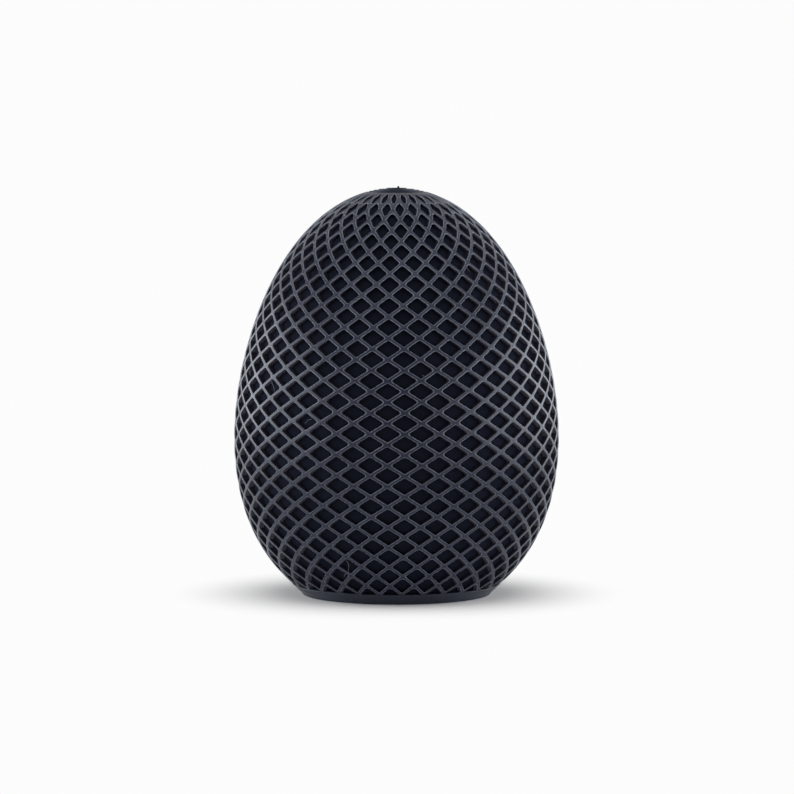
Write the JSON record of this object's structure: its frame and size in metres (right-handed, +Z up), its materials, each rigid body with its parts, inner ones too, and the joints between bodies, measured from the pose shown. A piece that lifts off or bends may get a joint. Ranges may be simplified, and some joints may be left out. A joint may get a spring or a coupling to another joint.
{
  "type": "decorative egg",
  "caption": "Upright hollow egg with an outer lattice of crossed helical ribs over a closed core, on a short flat foot ring.",
  "frame": {"origin": "centre of the flat underside, on the surface that the egg stands on", "axes": "+Z up along the egg's axis; -Y is the side that the picture shows"},
  "size_m": [0.0804, 0.0804, 0.101],
  "materials": {
    "lattice": "matt, fine print layers",
    "core": "matt, fine print layers",
    "infill": "matt"
  },
  "bodies": {
    "root": {"lattice_cage": "lattice", "crown_cap": "lattice", "tip_nub": "lattice", "stand_ring": "lattice", "base_disc": "lattice", "core_shell": "core", "infill_grid": "infill"}
  },
  "joints": []
}
